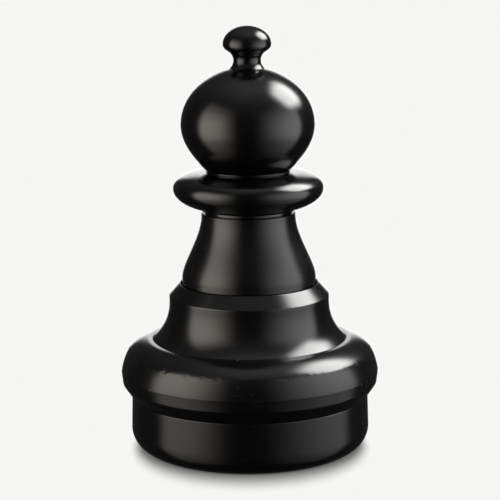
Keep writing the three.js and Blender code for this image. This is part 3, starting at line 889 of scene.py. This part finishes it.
def screw_mesh(head_top, length):
    """A pan-head screw that points up, with a cross recess below and a rolled thread."""
    head_height, head_radius, radius, pitch = 3.0, 4.6, 2.0, 1.4
    head_bottom = head_top - head_height
    core = radius - 0.35
    body = lathe("screw", [
        (0, head_bottom),
        *arc((0, head_bottom + 2.4), head_radius, 2.4, 270, 360, 10)[1:],
        (head_radius, head_top, 0.2),
        (core, head_top, 0.2),
        (core, head_top + length - 2),
        (0, head_top + length),
    ], 48, False)
    turns = (length - 4.5) / pitch
    ridge = thread("screw_thread", pitch, turns, core, radius, 0.9, 0.25, head_top + 1.2, 24)
    body = combined("screw", body, [ridge], "UNION")
    slots = []
    for turn in (0, math.pi / 2):
        slot = bmesh.new()
        bmesh.ops.create_cube(slot, size=1)
        for v in slot.verts:
            narrow = 0.45 if v.co.z > 0 else 1.0
            v.co = Vector((v.co.x * 4.6 * narrow, v.co.y * 0.9, v.co.z * 1.9)) * MM
        slots.append(moved(finished("slot", slot), 0, 0, head_bottom + 0.75, turn))
    return combined("screw", body, slots, "DIFFERENCE")


def flat_ring(name, inner, outer, node, edge, segments):
    """A washer or gasket as high as its CAD node."""
    low, high = box_mm(node)
    corners = [(inner, low.z), (outer, low.z), (outer, high.z), (inner, high.z)]
    return lathe(name, [(*corner, edge) for corner in corners], segments)


def fastenings(material):
    """The base screws and the finial's screw, each with its washer."""
    head_height = 3

    def fastening(node, mesh, body):
        piece(node + "_zinc", mesh, material, body, "screw_steel", node)

    for node, (x, y) in zip(SCREW_NAMES, screw_places()):
        low = box_mm(node)[0]
        fastening(node, moved(screw_mesh(low.z + head_height, 24), x, y), "base")
        washer = node.replace("screw", "washer")
        fastening(washer, moved(flat_ring("washer", PILOT_RADIUS, 5.8, washer, 0.2, 64), x, y), "base")
    low, high = box_mm("finial_screw")
    length = high.z - low.z - head_height
    fastening("finial_screw", screw_mesh(low.z + head_height, length), "head")
    fastening("finial_washer", flat_ring("washer", PILOT_RADIUS, 13, "finial_washer", 0.2, 64), "head")


# ---- Filler plug --------------------------------------------------------------------------------


def plug(material, seal):
    """The filler plug with its fluted flange, grip bar and thread, and the gasket above the flange."""
    low, high = box_mm("filler_plug")
    flange_top = low.z + 4.5
    outline = [
        (0, high.z - 2.6),
        (11.6, high.z - 2.6, 1.2),
        (11.6, low.z, 0.6),
        (23, low.z, 0.5),
        (24, low.z + 1, 0.5),
        (24, flange_top, 0.4),
        (14.2, flange_top, 0.5),
        (14.2, high.z - 1, 0.4),
        (13.2, high.z, 0.4),
        (0, high.z),
    ]

    def fluted(r, z, a):
        if r < 23.5 or z > flange_top + 0.1:
            return r, z
        return r - 0.7 * (1 - abs(math.cos(18 * a))), z

    body = lathe("plug", outline, 216, False, fluted)
    bar = bmesh.new()
    bmesh.ops.create_cube(bar, size=1)
    for v in bar.verts:
        taper = 1.0 if v.co.z > 0 else 0.82
        v.co = Vector((v.co.x * 25.2, v.co.y * 4.5 * taper, v.co.z * 9)) * MM
    lower_edges = [e for e in bar.edges if all(v.co.z < 0 for v in e.verts)]
    bmesh.ops.bevel(bar, geom=lower_edges, offset=0.7 * MM, segments=4, profile=0.5, affect="EDGES")
    grip = moved(finished("bar", bar), 0, 0, low.z + 4.52)
    ridge = thread("plug_thread", *PLUG_THREAD)
    body = combined("plug", body, [grip, ridge], "UNION")
    piece("filler_plug_cap", body, material, "plug", "base_plastic", "filler_plug")
    ring = flat_ring("gasket", 17.4, 23, "plug_gasket", 0.4, 96)
    piece("plug_gasket_ring", ring, seal, "plug_seal", "seal_rubber", "plug_gasket")


# ---- Waist and collar ---------------------------------------------------------------------------


def waist(material, seal):
    """The waist with its spigot below and its threaded neck inside, and the spigot's rubber ring."""
    low, high = box_mm("waist")
    radius = high.x
    shoulder = SKIRT_SOCKET_TOP + GAP
    edge = 5.5
    spigot = 58.2
    spigot_bore = 53.7
    groove, groove_low, groove_high = spigot - 2.2, 145.6, 150.4
    bell_foot = (radius, 177)
    bell_top = (47.5, 240)
    top = high.z
    seat, seat_height = 44.1, 235.5
    neck, neck_low = 37.4, 213
    bell = curve(bell_foot, (radius, 191.6), (47.5, 218.2), bell_top, 40)
    outside = [*arc((radius - edge, shoulder + edge), edge, edge, -90, 0, 10), bell_foot, *bell]
    inside = list(reversed(offset([(radius, 172), bell_foot, *bell[:-2]], WALL)))[::3]
    outline = [
        (spigot_bore, low.z, 0.5),
        (spigot - 0.7, low.z, 0.5),
        (spigot, low.z + 1.5, 0.5),
        (spigot, groove_low, 0.3),
        (groove, groove_low, 0.3),
        (groove, groove_high, 0.3),
        (spigot, groove_high, 0.3),
        (spigot, shoulder, 0.5),
        *outside,
        (bell_top[0], top - 0.6, 0.5),
        (46.9, top, 0.4),
        (seat, top, 0.3),
        (seat, seat_height, 0.5),
        (neck, seat_height, 0.5),
        (neck, neck_low, 0.5),
        (neck + WALL, neck_low, 0.5),
        (neck + WALL, 231.5, 1.2),
        *[p for p in inside if p[1] < 230],
        (radius - WALL, shoulder + edge, 1.0),
        (spigot_bore, shoulder + 2, 1.0),
    ]
    mesh = lathe("waist", outline, 160)
    ridge = thread("waist_thread", *WAIST_THREAD)
    mesh = combined("waist", mesh, [ridge], "UNION")
    piece("waist_shell", mesh, material, "figure", "waist_plastic", "waist")
    low, high = box_mm("spigot_ring")
    section = (high.z - low.z) / 2
    circle = arc((high.x - section, (low.z + high.z) / 2), section, section, 0, 342, 19)
    ring = lathe("ring", circle, 160)
    piece("spigot_ring_seal", ring, seal, "figure", "seal_rubber", "spigot_ring")


def collar(material):
    """The collar, with a vent from its bore into its hollow."""
    low, high = box_mm("collar")
    foot, foot_radius = low.z, 43.5
    bore, mouth, gasket_seat = 37.6, 42.1, 277
    start = (47.6, 246.4)
    widest = (high.x, 268)
    lower = [(*start, 0.5), *curve(start, (52, 249), (high.x, 253), widest, 30)]
    upper = curve(widest, (high.x, 277.4), (61.4, 284.6), (foot_radius, high.z), 30)
    body = lathe("collar", [
        (bore, foot, 0.5),
        (foot_radius, foot, 0.5),
        (foot_radius, 246, 0.3),
        *lower,
        *upper,
        (mouth, high.z - 0.8, 0.3),
        (mouth, gasket_seat, 0.5),
        (bore, gasket_seat, 0.5),
    ], 160)
    skin = [point[:2] for point in [*lower[10:], *upper[:-10]]]
    hollow = lathe("hollow", [(45.1, 251, 1.0), *offset(skin, WALL)[::3], (45.1, 280.8, 1.0)], 96)
    vent = cylinder("vent", 2.5, 0, 50, 32)
    vent.transform(Matrix.Translation((0, 0, 263 * MM)) @ Matrix.Rotation(math.pi / 2, 4, "Y"))
    body = combined("collar", body, [hollow, vent], "DIFFERENCE")
    piece("collar_ring", body, material, "figure", "head_plastic", "collar")


# ---- Head and finial ----------------------------------------------------------------------------


def head(material, seal):
    """The ball with its spigot and threaded stem, and the neck gasket under its shoulder."""
    low, high = box_mm("head")
    radius = high.x
    middle = 331.5
    rise = 57.8
    seat, hole = high.z, 8.4
    bottom, shoulder = low.z, 279.3
    stem, spigot = 34, 41.5
    seat_angle = math.degrees(math.asin((seat - middle) / rise))
    throat = (43.6, 287.3)
    lower = curve(throat, (52, 295.5), (radius, 312), (radius, middle), 40)
    upper = arc((0, middle), radius, rise, 0, seat_angle, 48)[1:]
    inside = list(reversed(offset([throat, *lower, *upper[:-10]], WALL)))[1:-2:3]
    outline = [
        (stem - WALL, bottom, 0.4),
        (stem - 0.7, bottom, 0.4),
        (stem, bottom + 0.7, 0.4),
        (stem, shoulder, 0.4),
        (spigot, shoulder, 0.5),
        (spigot, 286.2, 0.3),
        (*throat, 0.4),
        *lower,
        *upper,
        (hole, seat, 0.3),
        (hole, seat - 7, 0.3),
        (16, seat - 7, 0.6),
        *inside,
        (spigot - WALL, 287, 1.0),
        (spigot - WALL, shoulder + WALL, 1.0),
        (stem - WALL, shoulder + WALL, 1.0),
    ]
    mesh = lathe("head", outline, 192)
    ridge = thread("head_thread", *HEAD_THREAD)
    mesh = combined("head", mesh, [ridge], "UNION")
    piece("head_ball", mesh, material, "head", "head_plastic", "head")
    ring = flat_ring("gasket", 37.9, 41.7, "neck_gasket", 0.4, 144)
    piece("neck_gasket_ring", ring, seal, "neck_seal", "seal_rubber", "neck_gasket")


def finial(material):
    """The mushroom knob with the blind hole that its screw goes into."""
    low, high = box_mm("finial")
    radius = high.x
    foot = (17.6, 387.6)
    neck = (13.8, 395.5)
    widest = (radius, 412)
    mesh = lathe("finial", [
        (0, low.z + 22),
        (PILOT_RADIUS, low.z + 22, 0.3),
        (PILOT_RADIUS, low.z, 0.3),
        (8, low.z, 0.4),
        (8, foot[1], 0.3),
        (*foot, 0.35),
        *curve(foot, (16, 389.3), (13.8, 391.5), neck, 14),
        *curve(neck, (13.8, 404.5), (radius, 404), widest, 26),
        *arc((0, widest[1]), radius, high.z - widest[1], 0, 90, 28)[1:-1],
        (0, high.z),
    ], 128, False)
    piece("finial_knob", mesh, material, "head", "head_plastic", "finial")


# ---- Making everything ----------------------------------------------------------------------------

# Scuffed bands of the torus and the skirt's top, and single marks, as plastic() takes them.
TORUS_WEAR = [
    (80.6, 0.8, 0.8, 0.7),
    (100.6, 1.0, 1.6, 0.8),
    (69.4, 0.3, 1.0, 0.4),
    (158.5, 0.4, 1.0, 0.3),
]
TORUS_GOUGES = [
    (1.2, 129.4, 87.4, 3.2, 0.7, 33),
    (-6, 129.4, 86.8, 8, 0.35, 0),
    (-56, 122, 102.6, 8, 0.8, -10),
    (-49, 124.5, 99.6, 6, 0.5, -12),
    (-44, 124, 100.2, 4, 0.5, -8),
    (36, 125, 99.2, 5, 0.5, 0),
    (27, 125.4, 98.2, 4, 0.5, 4),
]
TORUS_FLECKS = [
    (-34, 126.8, 95.3, 0.7, 0.5, 20),
    (-6.8, 99.4, 114.2, 0.5, 1.1, 0),
]
WAIST_GOUGES = [(38, 55.2, 211, 1.0, 1.5, 0)]


def main():
    make_camera()
    studio()
    base_plastic = plastic("base_plastic", 0.20, 1.0, TORUS_WEAR, TORUS_GOUGES, TORUS_FLECKS)
    waist_plastic = plastic("waist_plastic", 0.24, 0.6, (), WAIST_GOUGES)
    head_plastic = plastic("head_plastic", 0.19, 0.3)
    seal = rubber()
    steel = zinc()
    drum(base_plastic)
    sand_bed(sand())
    skirt(base_plastic)
    plug(base_plastic, seal)
    waist(waist_plastic, seal)
    collar(head_plastic)
    head(head_plastic, seal)
    finial(head_plastic)
    fastenings(steel)


main()
